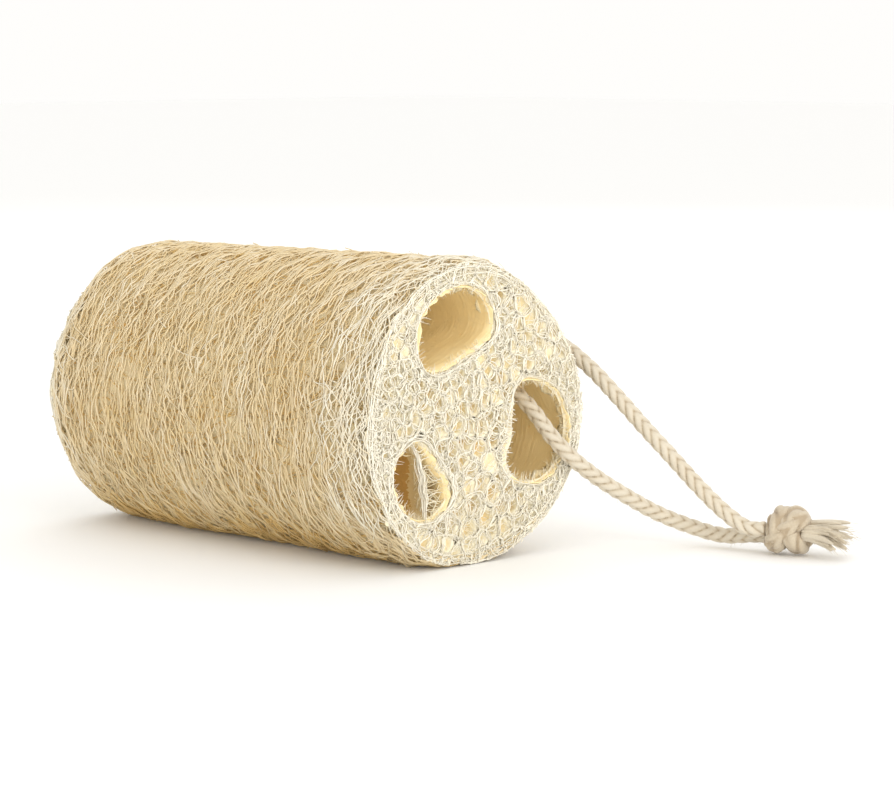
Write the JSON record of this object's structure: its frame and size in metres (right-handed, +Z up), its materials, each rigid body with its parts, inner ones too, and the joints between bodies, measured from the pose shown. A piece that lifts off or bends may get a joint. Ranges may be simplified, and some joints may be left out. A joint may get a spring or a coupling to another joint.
{
  "type": "natural loofah sponge",
  "caption": "Cut length of dried loofah gourd, a fibrous bath sponge with seed channels through it and a knotted cotton hanging loop.",
  "frame": {"origin": "under the middle of the sponge, on the surface that it rests on", "axes": "+X along the sponge towards the cut face with the cord, +Z up"},
  "size_m": [0.2412, 0.147, 0.0946],
  "materials": {
    "loofah_fibre": "matt dry plant fibre",
    "cotton_cord": "undyed braided cotton"
  },
  "bodies": {
    "root": {"loofah_sponge": "loofah_fibre", "cord_loop": "cotton_cord", "cord_knot": "cotton_cord", "cord_end_left": "cotton_cord", "cord_end_right": "cotton_cord"}
  },
  "joints": []
}
